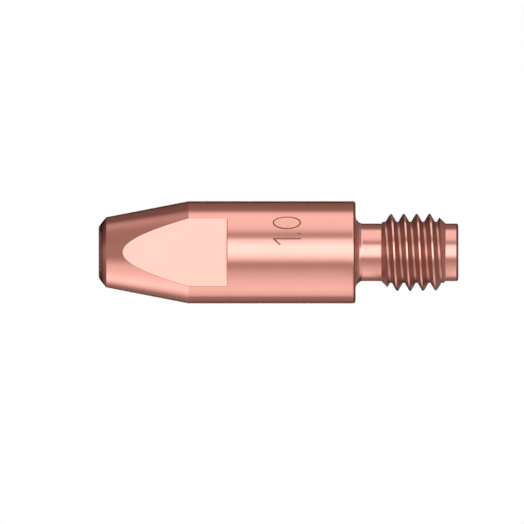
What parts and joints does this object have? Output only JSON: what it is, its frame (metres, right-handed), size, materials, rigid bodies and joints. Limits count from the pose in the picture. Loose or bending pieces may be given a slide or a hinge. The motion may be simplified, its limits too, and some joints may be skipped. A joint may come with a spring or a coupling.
{
  "type": "welding contact tip",
  "caption": "Copper contact tip for a gas-shielded welding torch: threaded shank, straight body, tapered nose with two wrench flats and a stepped wire bore.",
  "frame": {"origin": "centre of the rear face of the threaded end, on the tip's axis", "axes": "+Z along the tip's axis, from the threaded end to the nose; +Y and -Y are the normals of the two wrench flats; +X is across the flats' width"},
  "size_m": [0.008, 0.008, 0.028],
  "materials": {
    "copper": "satin"
  },
  "bodies": {
    "root": {"contact_tip": "copper"}
  },
  "joints": []
}
